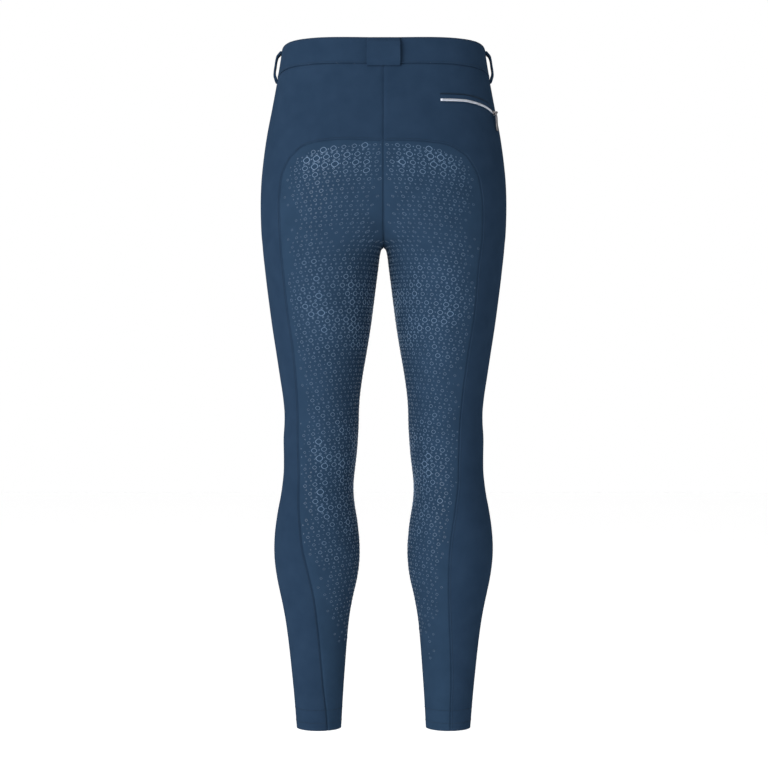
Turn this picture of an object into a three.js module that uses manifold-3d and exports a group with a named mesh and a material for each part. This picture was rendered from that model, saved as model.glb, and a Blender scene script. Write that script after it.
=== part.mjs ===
// Full-seat riding breeches, filled out and hollow, as if worn by nobody.
// Millimetres. +Z is up, the back of the garment faces -Y, the wearer's right is +X.
// The origin is the middle of the waist opening, at the height of the back waistband.
import * as THREE from 'three';
import Module from 'manifold-3d';

const wasm = await Module();
wasm.setup();
const { Manifold, CrossSection } = wasm;

// Sizes that several pieces share
const SEAM_GAP = 0.15;
const CLOTH_WALL = 1.4;
const HEM_WALL = 2.4;
const HEM_DEPTH = 30;
const HEM_Z = -1005.5;
const CROTCH_Z = -279.4;
const SIDE_SEAM_DEGREES = 8;
const LAY = 0.3;
const NAVY = 0x2c425a;
const SEAT_BLUE = 0x304a66;

// Sections of one half by height: inner edge, outer edge, centre, back, front, squareness.
// Above the crotch the inner edge lies beyond the centre seam, which cuts the section off.
const SECTIONS = [
  [24, -151.6, 151.6, 0, -105, 105, 2.6],
  [-10, -156.8, 156.8, 0, -107, 107, 2.6],
  [-42, -162.6, 162.6, 0, -110.5, 108.5, 2.5],
  [-75, -178, 168.7, 2.5, -116.5, 110, 2.4],
  [-111, -182, 175.4, 8, -124.5, 110.5, 2.35],
  [-147.6, -177, 180.5, 17, -131.5, 110.3, 2.3],
  [-184, -152, 184, 29, -135.7, 109.7, 2.25],
  [-220, -106, 185.1, 43.5, -135.5, 108.7, 2.2],
  [-238.5, -77, 184.9, 52.5, -133, 108, 2.16],
  [-256.7, -45, 184.3, 62.5, -129.6, 107.2, 2.12],
  [-268, -24.5, 183.6, 69.5, -127, 106.6, 2.1],
  [-275, -10, 182.9, 74.5, -125.3, 106.2, 2.08],
  [-279.4, 0, 182.5, 78, -124.2, 105.9, 2.07],
  [-282, 2.4, 182.3, 80, -123.5, 105.7, 2.06],
  [-286, 4, 182, 82.6, -122.4, 105.4, 2.05],
  [-293.1, 5.5, 181.4, 86, -120.5, 104.9, 2.04],
  [-310, 7.7, 179.6, 90.3, -116, 103.6, 2.02],
  [-329.4, 10.2, 177.5, 92.7, -111.5, 101.8, 2],
  [-365.8, 14.8, 173, 93.9, -104.5, 97.8, 2],
  [-402.2, 19.6, 168.1, 93.9, -98.5, 93, 2],
  [-438.5, 25.5, 162.5, 94, -92, 87.5, 2],
  [-474.9, 31.7, 157, 94.3, -84.3, 81.3, 2],
  [-511.2, 36.3, 151.7, 94, -75.8, 75.5, 2],
  [-529.4, 37.3, 150.1, 93.7, -71.2, 73.2, 2],
  [-547.6, 37.7, 150.2, 94, -67, 71.3, 2],
  [-565.8, 38.6, 151.4, 95, -64, 69.5, 2],
  [-602.2, 41.7, 151.1, 96.4, -61.5, 65.7, 2],
  [-620.3, 43.9, 151.3, 97.6, -62.4, 63.2, 2],
  [-638.5, 45.5, 153, 99.2, -65, 60.3, 2],
  [-656.7, 45.1, 155.5, 100.3, -69, 57.3, 2],
  [-674.9, 42.7, 158.9, 100.8, -73, 54.2, 2],
  [-693.1, 39.6, 161.7, 100.6, -76.5, 51.3, 2],
  [-711.2, 37.5, 163.7, 100.6, -79, 48.6, 2],
  [-729.4, 36.1, 164.6, 100.4, -80.2, 46.3, 2],
  [-747.6, 36.1, 164.2, 100.2, -79.7, 44.2, 2],
  [-765.8, 37.7, 162.3, 100, -77.8, 42.2, 2],
  [-784, 40.8, 159.3, 100, -74.8, 40.3, 2],
  [-802.2, 45.1, 155.5, 100.3, -71, 38.4, 2],
  [-820.3, 48.7, 151.7, 100.2, -67, 36.6, 2],
  [-838.5, 51.6, 148.4, 100, -63, 35, 2],
  [-874.9, 55.2, 143.4, 99.3, -56.4, 32.2, 2],
  [-911.2, 58, 139.5, 98.8, -51, 30.5, 2],
  [-965.8, 61.7, 134.3, 98, -45.6, 30.5, 2],
  [-1005.5, 63.9, 131.3, 97.6, -42.5, 32.5, 2],
];

// Waistband edges by angle round the waist, -90 at the back and 90 at the front: angle, seam, top
const WAISTBAND = [
  [-90, -18, 20],
  [-50, -17, 22.3],
  [-25, -19.5, 21.2],
  [-12, -23.5, 18.8],
  [0, -27, 16],
  [30, -33, 9],
  [60, -38, 3],
  [90, -40, 0],
];

// Near the crotch a section's inner half stays wider away from its inner edge: height, swell
const CROTCH_SWELL = [
  [24, 0],
  [-184, 0],
  [-220, 1],
  [-238.5, 4],
  [-256.7, 9],
  [-268, 13],
  [-275, 17],
  [CROTCH_Z, 19],
  [-282, 17.6],
  [-286, 14.5],
  [-293.1, 9.5],
  [-310, 4.2],
  [-329.4, 1.8],
  [-365.8, 0.4],
  [-402.2, 0],
  [HEM_Z, 0],
];

// Inner front seam of the leg by height: height, angle round the leg
const INNER_SEAM = [
  [CROTCH_Z, 180],
  [-292, 172],
  [-312, 163],
  [-348, 154],
  [-420, 148],
  [-550, 145],
  [-650, 145],
  [-750, 148],
  [-850, 152],
  [HEM_Z, 158],
];

// Upper edge of the seat panel, from the centre seam outwards: distance from centre, height
const SEAT_TOP = {
  left: [
    [0, -133], [25.4, -132.1], [53, -130.9], [83.7, -132.3], [103.2, -135], [120.5, -141.2], [134.4, -153.1],
  ],
  right: [[0, -133], [32.6, -132.8], [67.4, -134.9], [100.4, -140.5], [122.5, -154.3]],
};

// Outer edge of the seat panel, from its rounded corner to the hem: height, distance from centre
const SEAT_SIDE = {
  left: [
    [-153.1, 134.4], [-166.8, 143], [-183.3, 149.3], [-200.3, 151.5], [-215.7, 152.9], [-256.4, 152.2],
    [-292.2, 150.3], [-333.8, 146.4], [-383.5, 141.1], [-430.4, 134.1], [-477.5, 129.8], [-524.7, 127.4],
    [-572.3, 127], [-619.8, 125.7], [-666.2, 125.3], [-702.3, 122.6], [-726.6, 119.9], [-763.4, 111.4],
    [-800.7, 103], [-846, 97.3], [-896.5, 92.7], [-939.4, 89.1], [-984.8, 84.2], [HEM_Z, 83],
  ],
  right: [
    [-154.3, 122.5], [-177.9, 137.3], [-206.9, 144], [-232.2, 146.3], [-268.5, 145.8], [-313.6, 140.5],
    [-383.6, 134.9], [-442.2, 125.8], [-501.1, 118], [-524.6, 115.8], [-560.3, 113.6], [-595.5, 112.6],
    [-636, 111.6], [-665, 107.8], [-690.1, 104], [-714.2, 100.2], [-738.6, 97.9], [-775.7, 96.7],
    [-825.8, 97.6], [-876.2, 99.8], [-926.7, 101.3], [-976.6, 100.2], [HEM_Z, 100],
  ],
};

// Heights of the rows that all panels share, from the hip down to the hem
const SHARED_ROWS = [
  -187, -205, -222, -237, -249, -259, -266.5, -272, -276, CROTCH_Z,
  -282.5, -286.5, -292, -300, -312, -328, -348, -370, -395, -420, -446, -472, -498,
  -524, -550, -578, -606, -628, -648, -668, -688, -710, -732, -754, -776, -798,
  -822, -848, -876, -906, -938, -973, HEM_Z + HEM_DEPTH, HEM_Z,
];
const UPPER_ROWS = 5;
const SEAT_TOP_STEPS = 9;
const BACK_COLUMNS = 6;
const FRONT_COLUMNS = 11;

const degrees = (radians) => radians * 180 / Math.PI;
const radians = (angle) => angle * Math.PI / 180;
const lerp = (a, b, t) => a + (b - a) * t;
const signedPower = (value, power) => Math.sign(value) * Math.abs(value) ** power;

// A smooth curve through a table's first column and one of its others
function curve(table, column) {
  const sorted = [...table].sort((a, b) => a[0] - b[0]);
  const x = sorted.map((row) => row[0]);
  const y = sorted.map((row) => row[column]);
  const last = x.length - 1;
  const chord = x.slice(1).map((value, i) => (y[i + 1] - y[i]) / (value - x[i]));
  const slope = x.map((value, i) => {
    if (i === 0) return chord[0];
    if (i === last) return chord[last - 1];
    const before = value - x[i - 1];
    const after = x[i + 1] - value;
    return (after * chord[i - 1] + before * chord[i]) / (before + after);
  });
  return (at) => {
    let i = 0;
    while (i < last - 1 && at > x[i + 1]) i += 1;
    const step = x[i + 1] - x[i];
    const t = Math.min(Math.max((at - x[i]) / step, 0), 1);
    const rise = y[i + 1] - y[i];
    const bend = t * (1 - t) * ((1 - t) * (slope[i] * step - rise) - t * (slope[i + 1] * step - rise));
    return y[i] + rise * t + bend;
  };
}

const SECTION_CURVES = [1, 2, 3, 4, 5, 6].map((column) => curve(SECTIONS, column));
const crotchSwell = curve(CROTCH_SWELL, 1);
const seamHeight = curve(WAISTBAND, 1);
const topHeight = curve(WAISTBAND, 2);
const innerSeamAngle = curve(INNER_SEAM, 1);

function sectionAt(z) {
  const [innerEdge, outerEdge, centre, back, front, squareness] = SECTION_CURVES.map((read) => read(z));
  return {
    centre,
    inner: centre - innerEdge,
    outer: outerEdge - centre,
    swell: crotchSwell(z),
    back,
    front,
    squareness,
  };
}

// How far a section's inner half comes in, at a reach of 0 to 1 towards its inner edge
const innerSpan = ({ inner, swell }, reach) => (inner + swell * (1 - reach ** 4)) * reach;

// The reach at a distance from the centre line: 1 at the outer edge, -1 at the inner edge
function reachAt(x, section) {
  const { centre, inner, outer } = section;
  if (x >= centre) return Math.min((x - centre) / outer, 1);
  if (x <= centre - inner) return -1;
  let low = 0;
  let high = 1;
  for (let i = 0; i < 40; i += 1) {
    const middle = (low + high) / 2;
    if (centre - innerSpan(section, middle) > x) low = middle;
    else high = middle;
  }
  return -low;
}

// The angle on the front of a section at a distance from the centre line
function frontAngle(x, z) {
  const section = sectionAt(z);
  return Math.acos(signedPower(reachAt(x, section), section.squareness / 2));
}

const backAngle = (x, z) => -frontAngle(x, z);

// The angle where a section meets the centre seam, or 180 degrees on a leg of its own
const centreAngle = (z) => frontAngle(SEAM_GAP, z);

// A point of the right half's outer surface by angle, 0 at the side and -90 degrees at the back
function surfacePoint(angle, z) {
  const section = sectionAt(z);
  const { centre, outer, back, front, squareness } = section;
  const reach = signedPower(Math.cos(angle), 2 / squareness);
  const x = centre + (reach > 0 ? outer * reach : -innerSpan(section, -reach));
  const y = (back + front) / 2 + (front - back) / 2 * signedPower(Math.sin(angle), 2 / squareness);
  return new THREE.Vector3(x, y, z);
}

function surfaceNormal(angle, z) {
  const turn = 0.02;
  const rise = 1.5;
  const along = surfacePoint(angle + turn, z).sub(surfacePoint(angle - turn, z));
  const up = surfacePoint(angle, z + rise).sub(surfacePoint(angle, z - rise));
  return along.cross(up).normalize();
}

// Panel edges are given as [part, z], where part is the angle over the section's centre angle
const placeOf = (angle, z) => [angle / centreAngle(z), z];

function seatEdge(side) {
  const top = curve(SEAT_TOP[side], 1);
  const sideways = curve(SEAT_SIDE[side], 1);
  const [cornerX, cornerZ] = SEAT_TOP[side].at(-1);
  const edge = [];
  for (let i = 0; i < SEAT_TOP_STEPS; i += 1) {
    const x = cornerX * i / SEAT_TOP_STEPS;
    const z = top(x);
    edge.push(i === 0 ? [-1, z] : placeOf(backAngle(x, z), z));
  }
  for (let i = 0; i < UPPER_ROWS; i += 1) {
    const z = lerp(cornerZ, SHARED_ROWS[0], i / UPPER_ROWS);
    edge.push(placeOf(backAngle(sideways(z), z), z));
  }
  for (const z of SHARED_ROWS) edge.push(placeOf(backAngle(sideways(z), z), z));
  return edge;
}

function sideSeam() {
  const angle = radians(SIDE_SEAM_DEGREES);
  const start = seamHeight(SIDE_SEAM_DEGREES);
  const edge = [];
  for (let i = 0; i < UPPER_ROWS; i += 1) {
    edge.push(placeOf(angle, lerp(start, SHARED_ROWS[0], i / UPPER_ROWS)));
  }
  for (const z of SHARED_ROWS) edge.push(placeOf(angle, z));
  return edge;
}

// Back half of the waistband seam, from the centre seam to the side seam
function backWaistSeam() {
  const edge = [];
  for (let i = 0; i < SEAT_TOP_STEPS; i += 1) {
    const angle = lerp(-90, SIDE_SEAM_DEGREES, i / SEAT_TOP_STEPS);
    edge.push(i === 0 ? [-1, seamHeight(-90)] : placeOf(radians(angle), seamHeight(angle)));
  }
  return edge;
}

// The four-sided patch between four edges of [part, z] places
function patchBetween(top, bottom, left, right) {
  const rows = left.length - 1;
  const columns = top.length - 1;
  return left.map((leftPlace, i) => {
    const v = i / rows;
    return top.map((topPlace, j) => {
      const u = j / columns;
      return [0, 1].map((k) => {
        const across = lerp(leftPlace[k], right[i][k], u);
        const down = lerp(topPlace[k], bottom[j][k], v);
        const upperCorners = lerp(top[0][k], top[columns][k], u);
        const lowerCorners = lerp(bottom[0][k], bottom[columns][k], u);
        return across + down - lerp(upperCorners, lowerCorners, v);
      });
    });
  });
}

function straightEdge(from, to, steps) {
  return Array.from({ length: steps + 1 }, (_, i) => [
    lerp(from[0], to[0], i / steps),
    lerp(from[1], to[1], i / steps),
  ]);
}

// Points of a grid of [angle, z] places, moved out along the surface by lift(place, row, column)
function liftGrid(places, lift, side) {
  const mirror = side === 'left' ? -1 : 1;
  return places.map((row, i) => row.map(([angle, z], j) => {
    const point = surfacePoint(angle, z);
    point.addScaledVector(surfaceNormal(angle, z), lift([angle, z], i, j));
    point.x *= mirror;
    return point;
  }));
}

// Draws in the four borders of a grid of points by the seam gap
function insetBorders(grid) {
  const rows = grid.length - 1;
  const columns = grid[0].length - 1;
  const move = (point, inward) => {
    const step = inward.clone().sub(point);
    point.addScaledVector(step.normalize(), SEAM_GAP);
  };
  for (let j = 0; j <= columns; j += 1) {
    move(grid[0][j], grid[1][j]);
    move(grid[rows][j], grid[rows - 1][j]);
  }
  for (let i = 0; i <= rows; i += 1) {
    move(grid[i][0], grid[i][1]);
    move(grid[i][columns], grid[i][columns - 1]);
  }
  return grid;
}

// A closed wall between an outer and an inner grid of points
function wallGeometry(outer, inner, flipped) {
  const rows = outer.length;
  const columns = outer[0].length;
  const points = [...outer.flat(), ...inner.flat()];
  const index = [];
  const triangle = (a, b, c) => (flipped ? index.push(a, c, b) : index.push(a, b, c));
  const quad = (a, b, c, d) => {
    const straight = points[a].distanceTo(points[c]) <= points[b].distanceTo(points[d]);
    if (straight) {
      triangle(a, b, c);
      triangle(a, c, d);
    } else {
      triangle(a, b, d);
      triangle(b, c, d);
    }
  };
  const out = (i, j) => i * columns + j;
  const inn = (i, j) => rows * columns + i * columns + j;
  for (let i = 0; i + 1 < rows; i += 1) {
    for (let j = 0; j + 1 < columns; j += 1) {
      quad(out(i, j), out(i + 1, j), out(i + 1, j + 1), out(i, j + 1));
      quad(inn(i, j), inn(i, j + 1), inn(i + 1, j + 1), inn(i + 1, j));
    }
    quad(out(i + 1, 0), out(i, 0), inn(i, 0), inn(i + 1, 0));
    quad(out(i, columns - 1), out(i + 1, columns - 1), inn(i + 1, columns - 1), inn(i, columns - 1));
  }
  for (let j = 0; j + 1 < columns; j += 1) {
    quad(out(0, j), out(0, j + 1), inn(0, j + 1), inn(0, j));
    quad(out(rows - 1, j + 1), out(rows - 1, j), inn(rows - 1, j), inn(rows - 1, j + 1));
  }
  const geometry = new THREE.BufferGeometry();
  geometry.setAttribute('position', new THREE.Float32BufferAttribute(points.flatMap((p) => p.toArray()), 3));
  geometry.setIndex(index);
  geometry.computeVertexNormals();
  return geometry;
}

// A cloth piece on the surface, between two lifts, from a grid of [angle, z] places
function clothPiece(places, innerLift, outerLift, side) {
  const outer = insetBorders(liftGrid(places, outerLift, side));
  const inner = insetBorders(liftGrid(places, innerLift, side));
  return wallGeometry(outer, inner, side === 'left');
}

const toAngles = (grid) => grid.map((row) => row.map(([part, z]) => [part * centreAngle(z), z]));

// Panels lie flush, and their wall is doubled inwards where the hem is turned up
const panelInside = ([, z]) => (z <= HEM_Z + HEM_DEPTH ? -HEM_WALL : -CLOTH_WALL);
const panelOutside = () => 0;

function seatPanel(side) {
  const edge = seatEdge(side);
  const top = edge.slice(0, SEAT_TOP_STEPS + 1);
  const right = edge.slice(SEAT_TOP_STEPS);
  const left = right.map(([, z], i) => {
    if (i <= UPPER_ROWS) return [-1, lerp(top[0][1], SHARED_ROWS[0], i / UPPER_ROWS)];
    return z > CROTCH_Z ? [-1, z] : [innerSeamAngle(z) / 180 - 2, z];
  });
  const bottom = straightEdge(left.at(-1), right.at(-1), SEAT_TOP_STEPS);
  const places = patchBetween(top, bottom, left, right);
  return clothPiece(toAngles(places), panelInside, panelOutside, side);
}

function backPanel(side) {
  const inner = seatEdge(side);
  const outer = [...backWaistSeam(), ...sideSeam()];
  const places = inner.map((from, i) => straightEdge(from, outer[i], BACK_COLUMNS));
  return clothPiece(toAngles(places), panelInside, panelOutside, side);
}

function frontPanel(side) {
  const left = sideSeam();
  const waist = seamHeight(90);
  const right = left.map(([, z], i) => {
    if (i <= UPPER_ROWS) return [1, lerp(waist, SHARED_ROWS[0], i / UPPER_ROWS)];
    return z > CROTCH_Z ? [1, z] : [innerSeamAngle(z) / 180, z];
  });
  const top = Array.from({ length: FRONT_COLUMNS + 1 }, (_, j) => {
    const angle = lerp(SIDE_SEAM_DEGREES, 90, j / FRONT_COLUMNS);
    return j === FRONT_COLUMNS ? [1, waist] : placeOf(radians(angle), seamHeight(angle));
  });
  const bottom = straightEdge(left.at(-1), right.at(-1), FRONT_COLUMNS);
  const places = patchBetween(top, bottom, left, right);
  return clothPiece(toAngles(places), panelInside, panelOutside, side);
}

// Waistband: a doubled band, whose left end laps over the right one at the front
const BAND_INSIDE = -1.9;
const BAND_OUTSIDE = 0.5;
const LAP_DEGREES = 8;
const LAP_LIFT = BAND_OUTSIDE - BAND_INSIDE + LAY;

function waistband(side) {
  const stops = backWaistSeam().map(([part, z]) => degrees(part * centreAngle(z)));
  for (let j = 0; j <= FRONT_COLUMNS; j += 1) stops.push(lerp(SIDE_SEAM_DEGREES, 90, j / FRONT_COLUMNS));
  stops[0] = -degrees(centreAngle(0));
  if (side === 'right') {
    stops[stops.length - 1] = degrees(centreAngle(0));
  } else {
    stops.splice(-1, 1, 86, 89, 92, 90 + LAP_DEGREES * 0.6, 90 + LAP_DEGREES);
  }
  const folded = (angle) => Math.min(angle, 180 - angle);
  const ends = [(angle) => topHeight(folded(angle)), (angle) => seamHeight(folded(angle))];
  const rows = 3;
  const places = Array.from({ length: rows + 1 }, (_, i) => stops.map((angle) => [
    radians(angle),
    lerp(ends[0](angle), ends[1](angle), i / rows),
  ]));
  const lap = ([angle]) => {
    if (side === 'right') return 0;
    return LAP_LIFT * THREE.MathUtils.smoothstep(degrees(angle), 80, 89);
  };
  const inside = (place) => BAND_INSIDE + lap(place);
  const outside = (place) => BAND_OUTSIDE + lap(place);
  return clothPiece(places, inside, outside, side);
}

// Belt loops stand off the waistband: part of the loop's height, part of its stand-off
const LOOP_WALL = 2.2;
const LOOP_FOOT = 0.9;
const LOOP_RISE = [
  [0, 0], [0.07, 0.4], [0.16, 0.86], [0.28, 1], [0.5, 1], [0.7, 0.96], [0.83, 0.78], [0.93, 0.36], [1, 0],
];
const BACK_LOOP = { angle: -90, width: 49, stand: 6.2, columns: 6 };
const SIDE_LOOP = { angle: 0, width: 18, stand: 6, columns: 3 };
const FRONT_LOOP = { angle: 72, width: 12, stand: 6.6, columns: 3 };

// Half the angle that a chord of the given width takes at the waist
function halfAngleOf(middle, width) {
  let low = 0;
  let high = 0.6;
  for (let step = 0; step < 30; step += 1) {
    const half = (low + high) / 2;
    const chord = surfacePoint(middle + half, 0).distanceTo(surfacePoint(middle - half, 0));
    if (chord < width) low = half;
    else high = half;
  }
  return high;
}

function beltLoop(side, { angle, width, stand, columns }) {
  const top = topHeight(angle) - 0.4;
  const bottom = seamHeight(angle) - 4.5;
  const middle = radians(angle);
  const halfAngle = halfAngleOf(middle, width);
  const places = LOOP_RISE.map(([part]) => Array.from({ length: columns + 1 }, (_, j) => [
    middle + lerp(-halfAngle, halfAngle, j / columns),
    lerp(top, bottom, part),
  ]));
  const inside = (place, i) => lerp(LOOP_FOOT, stand, LOOP_RISE[i][1]);
  const outside = (place, i) => inside(place, i) + LOOP_WALL;
  return clothPiece(places, inside, outside, side);
}

// Fly flap: a J-shaped facing on the wearer's left, up to the centre front seam
const FLY_LENGTH = 150;
const FLY_WIDTH = 36;

function flyFlap() {
  const rows = 12;
  const columns = 5;
  const places = Array.from({ length: rows + 1 }, (_, i) => {
    const part = i / rows;
    const z = lerp(seamHeight(90) - 0.3, seamHeight(90) - FLY_LENGTH, part);
    const curveIn = part < 0.7 ? 1 : Math.sqrt(Math.max(1 - ((part - 0.7) / 0.31) ** 2, 0.01));
    return Array.from({ length: columns + 1 }, (_, j) => [
      frontAngle(lerp(FLY_WIDTH * curveIn, SEAM_GAP, j / columns), z),
      z,
    ]);
  });
  const inside = () => LAY;
  const outside = () => LAY + 1.2;
  return clothPiece(places, inside, outside, 'left');
}

// Back pocket zip on the wearer's right: angle, height of the zip's middle
const POCKET = [
  [-65, -71.8],
  [-55, -71],
  [-47.8, -71],
  [-41.5, -72.4],
  [-34.2, -74.8],
  [-28.3, -77.4],
  [-22.5, -81.2],
  [-16.5, -85.6],
];
const zipHeight = curve(POCKET, 1);
const ZIP_HALF = 2.1;
const ZIP_WALL = 1.0;
const WELT_TOP = 8.2;
const POCKET_STEPS = 16;

function pocketStrip(low, high, innerLift, outerLift, rows) {
  const first = POCKET[0][0];
  const last = POCKET.at(-1)[0];
  const places = Array.from({ length: rows + 1 }, (_, i) => (
    Array.from({ length: POCKET_STEPS + 1 }, (_, j) => {
      const angle = lerp(first, last, j / POCKET_STEPS);
      return [radians(angle), zipHeight(angle) + lerp(high, low, i / rows)];
    })
  ));
  return clothPiece(places, () => innerLift, () => outerLift, 'right');
}

const pocketWelt = () => pocketStrip(ZIP_HALF + 0.1, WELT_TOP, LAY, LAY + 1.2, 2);
const pocketZip = () => pocketStrip(-ZIP_HALF, ZIP_HALF, LAY, LAY + ZIP_WALL, 1);

// The slider's place: a frame on the cloth with its origin on the surface
const SLIDER_ANGLE = -19;
const SLIDER_LIFT = LAY + ZIP_WALL + LAY;
const SLIDER_PLATE = 1.8;
const BAR_HEIGHT = 5.8;

function sliderFrame() {
  const angle = radians(SLIDER_ANGLE);
  const z = zipHeight(SLIDER_ANGLE);
  const normal = surfaceNormal(angle, z);
  const ahead = radians(1);
  const tangent = surfacePoint(angle + ahead, zipHeight(SLIDER_ANGLE + 1)).sub(surfacePoint(angle, z));
  tangent.z = 0;
  tangent.addScaledVector(normal, -tangent.dot(normal)).normalize();
  const up = normal.clone().cross(tangent).normalize();
  const frame = new THREE.Matrix4().makeBasis(tangent, up, normal);
  frame.setPosition(surfacePoint(angle, z));
  return frame;
}

function fromManifold(solid, frame) {
  const mesh = solid.getMesh();
  const geometry = new THREE.BufferGeometry();
  geometry.setAttribute('position', new THREE.Float32BufferAttribute(Array.from(mesh.vertProperties), 3));
  geometry.setIndex(Array.from(mesh.triVerts));
  geometry.applyMatrix4(frame);
  geometry.computeVertexNormals();
  return geometry;
}

function roundedBar(length, width, height, corner) {
  const core = CrossSection.square([length - 2 * corner, width - 2 * corner], true);
  return core.offset(corner, 'Round', 2, 24).extrude(height);
}

// Zip slider: a rounded plate with a low bridge along the zip
function zipSlider() {
  const plate = roundedBar(8.4, 6, SLIDER_PLATE, 1.6).translate([0, 0, SLIDER_LIFT]);
  const bridgeLength = 7;
  const bridgeTop = BAR_HEIGHT + 0.55;
  const bridge = Manifold.cube([bridgeLength, 1.2, bridgeTop - SLIDER_LIFT - 1], true)
    .translate([0, 0, (bridgeTop + SLIDER_LIFT + 1) / 2]);
  const eye = Manifold.cube([4.6, 3, BAR_HEIGHT - 0.55 - SLIDER_LIFT - SLIDER_PLATE], true)
    .translate([0, 0, (BAR_HEIGHT - 0.55 + SLIDER_LIFT + SLIDER_PLATE) / 2]);
  return fromManifold(plate.add(bridge.subtract(eye)), sliderFrame());
}

// Pull tab: an eye round the slider's bridge, a neck and a rounded plate that hangs down
const PULL_LENGTH = 28;
const PULL_TILT = 8;

function zipPull() {
  const eyeWidth = 3.2;
  const ring = CrossSection.circle(1.95, 32).subtract(CrossSection.circle(1.1, 32));
  const eye = ring.extrude(eyeWidth).translate([0, 0, -eyeWidth / 2]).rotate([90, 0, 90]);
  const neck = Manifold.cube([eyeWidth, 4.2, 1.2], true).translate([0, -3.5, 0]);
  const plateLength = PULL_LENGTH - 5;
  const plate = roundedBar(5.6, plateLength, 1.2, 1.6).translate([0, -5 - plateLength / 2, -0.6]);
  const pull = eye.add(neck).add(plate).rotate([PULL_TILT, 0, 0]);
  return fromManifold(pull.translate([0, 0, BAR_HEIGHT]), sliderFrame());
}

// Waist button on the lap of the band, with four sewing holes
const BUTTON_RADIUS = 8.5;
const BUTTON_HEIGHT = 3;

function waistButton() {
  const angle = radians(90 + LAP_DEGREES * 0.48);
  const z = (topHeight(84) + seamHeight(84)) / 2;
  const normal = surfaceNormal(angle, z);
  const spot = surfacePoint(angle, z).addScaledVector(normal, BAND_OUTSIDE + LAP_LIFT + LAY + 0.15);
  spot.x *= -1;
  normal.x *= -1;
  const across = new THREE.Vector3(0, 0, 1).cross(normal).normalize();
  const up = normal.clone().cross(across).normalize();
  const frame = new THREE.Matrix4().makeBasis(across, up, normal).setPosition(spot);
  let outline = CrossSection.circle(BUTTON_RADIUS, 40);
  for (const [x, y] of [[1, 1], [1, -1], [-1, 1], [-1, -1]]) {
    outline = outline.subtract(CrossSection.circle(0.9, 14).translate([x * 1.7, y * 1.7]));
  }
  const disc = outline.extrude(BUTTON_HEIGHT);
  const dish = Manifold.cylinder(1.2, BUTTON_RADIUS - 2.6, BUTTON_RADIUS - 2, 40)
    .translate([0, 0, BUTTON_HEIGHT - 0.9]);
  return fromManifold(disc.subtract(dish), frame);
}

const material = (color, roughness, metalness = 0) => (
  new THREE.MeshStandardMaterial({ color, roughness, metalness })
);

function addPiece(group, name, geometry, look) {
  const mesh = new THREE.Mesh(geometry, look);
  mesh.name = name;
  group.add(mesh);
}

function buildBreeches() {
  const group = new THREE.Group();
  group.name = 'riding_breeches';
  const cloth = material(NAVY, 0.85);
  const seat = material(SEAT_BLUE, 0.8);
  const silver = material(0xc9ccd4, 0.35, 0.6);
  const bronze = material(0x7d6f70, 0.4, 0.9);
  const horn = material(0x1e2b3b, 0.4);
  for (const side of ['left', 'right']) {
    addPiece(group, `waistband_${side}`, waistband(side), cloth);
    addPiece(group, `back_${side}`, backPanel(side), cloth);
    addPiece(group, `seat_${side}`, seatPanel(side), seat);
    addPiece(group, `front_${side}`, frontPanel(side), cloth);
    addPiece(group, `loop_side_${side}`, beltLoop(side, SIDE_LOOP), cloth);
    addPiece(group, `loop_front_${side}`, beltLoop(side, FRONT_LOOP), cloth);
  }
  addPiece(group, 'loop_back', beltLoop('right', BACK_LOOP), cloth);
  addPiece(group, 'fly_flap', flyFlap(), cloth);
  addPiece(group, 'waist_button', waistButton(), horn);
  addPiece(group, 'pocket_welt', pocketWelt(), cloth);
  addPiece(group, 'pocket_zip', pocketZip(), silver);
  addPiece(group, 'zip_slider', zipSlider(), bronze);
  addPiece(group, 'zip_pull', zipPull(), bronze);
  return group;
}

export default buildBreeches();
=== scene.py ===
# Riding breeches: the cloth, seams, print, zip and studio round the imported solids.
# The surface is worked out in millimetres, in the frame of the solids, and meshed in metres.
import math

import bpy
import numpy as np
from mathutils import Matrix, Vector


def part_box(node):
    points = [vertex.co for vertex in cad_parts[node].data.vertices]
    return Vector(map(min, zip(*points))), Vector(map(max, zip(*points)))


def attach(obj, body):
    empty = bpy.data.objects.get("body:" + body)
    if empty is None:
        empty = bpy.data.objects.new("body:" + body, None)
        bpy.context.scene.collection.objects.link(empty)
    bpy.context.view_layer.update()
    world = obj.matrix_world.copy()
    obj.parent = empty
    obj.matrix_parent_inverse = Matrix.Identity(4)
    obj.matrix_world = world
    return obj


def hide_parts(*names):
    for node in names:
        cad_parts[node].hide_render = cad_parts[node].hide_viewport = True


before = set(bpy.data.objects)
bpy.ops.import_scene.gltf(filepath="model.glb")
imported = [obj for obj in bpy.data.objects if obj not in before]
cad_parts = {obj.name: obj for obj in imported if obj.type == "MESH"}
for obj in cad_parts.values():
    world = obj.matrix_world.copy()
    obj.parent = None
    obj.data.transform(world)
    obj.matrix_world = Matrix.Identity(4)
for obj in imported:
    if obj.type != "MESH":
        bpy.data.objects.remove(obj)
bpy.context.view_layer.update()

BODY = "garment"
CROTCH_Z = -279.4
HEM_Z = -1005.5
HEM_DEPTH = 30
SIDE_SEAM_DEGREES = 8

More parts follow.
